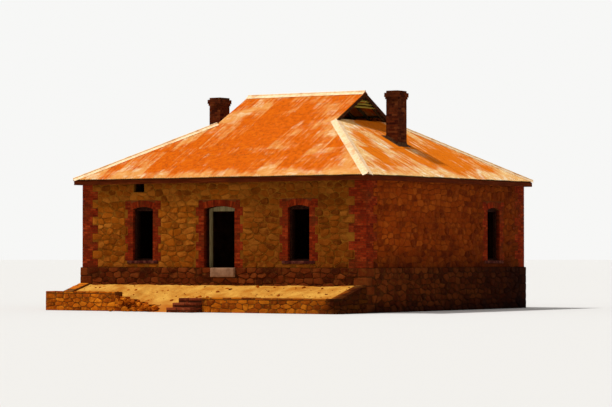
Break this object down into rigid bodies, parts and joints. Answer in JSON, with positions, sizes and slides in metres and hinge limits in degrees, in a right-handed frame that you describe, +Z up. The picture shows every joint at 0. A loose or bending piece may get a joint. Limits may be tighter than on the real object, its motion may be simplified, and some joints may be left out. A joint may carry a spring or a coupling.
{
  "type": "derelict stone cottage",
  "caption": "Derelict rubble-stone cottage with brick dressings, a hipped corrugated iron roof with gablets, two chimneys and a ruined stone terrace; hollow, with open doorways.",
  "frame": {"origin": "middle of the whole outline in plan, at the lowest ground", "axes": "+Z up, -Y towards the front with the terrace, +X towards the right end as seen from the front"},
  "size_m": [12.52, 13.71, 7.8085],
  "materials": {
    "rubble_stone": "rough rubble in lime mortar",
    "plinth_stone": "rough dark rubble",
    "terrace_stone": "rough dry rubble",
    "terrace_earth": "dry earth and stone fill",
    "brick": "weathered soft red brick",
    "dressed_stone": "worn dressed slabs",
    "floor_timber": "bare worn boards",
    "weathered_timber": "bare weathered timber",
    "roof_timber": "dry sawn timber",
    "rusted_iron": "rusted corrugated iron",
    "zinc_capping": "dull galvanised sheet"
  },
  "bodies": {
    "root": {"plinth_front": "plinth_stone", "plinth_back": "plinth_stone", "plinth_left": "plinth_stone", "plinth_right": "plinth_stone", "sleeper_walls": "plinth_stone", "floor_joists": "floor_timber", "floor_boards": "floor_timber", "doorsteps": "dressed_stone", "terrace_wall_left": "terrace_stone", "terrace_wall_broken": "terrace_stone", "terrace_wall_right": "terrace_stone", "terrace_end_walls": "terrace_stone", "terrace_fill": "terrace_earth", "terrace_steps": "dressed_stone", "front_wall_left": "rubble_stone", "front_wall_right": "rubble_stone", "front_wall_over_door": "rubble_stone", "back_wall_left": "rubble_stone", "back_wall_right": "rubble_stone", "back_wall_over_door": "rubble_stone", "left_wall": "rubble_stone", "right_wall": "rubble_stone", "corner_quoins": "brick", "door_surrounds": "brick", "window_surrounds": "brick", "window_sills": "dressed_stone", "window_frames": "weathered_timber", "door_frames": "weathered_timber", "wall_plates": "roof_timber", "tie_beams": "roof_timber", "ridge_board": "roof_timber", "hip_rafters": "roof_timber", "main_rafters": "roof_timber", "end_rafters": "roof_timber", "gablet_collars": "weathered_timber", "roof_battens": "roof_timber", "roof_iron_front": "rusted_iron", "roof_iron_back": "rusted_iron", "roof_iron_left": "rusted_iron", "roof_iron_right": "rusted_iron", "ridge_cap": "zinc_capping", "hip_caps": "zinc_capping", "barge_boards": "weathered_timber", "gablet_louvres": "weathered_timber", "fascia_boards": "weathered_timber", "chimney_left": "brick", "chimney_right": "brick"}
  },
  "joints": []
}
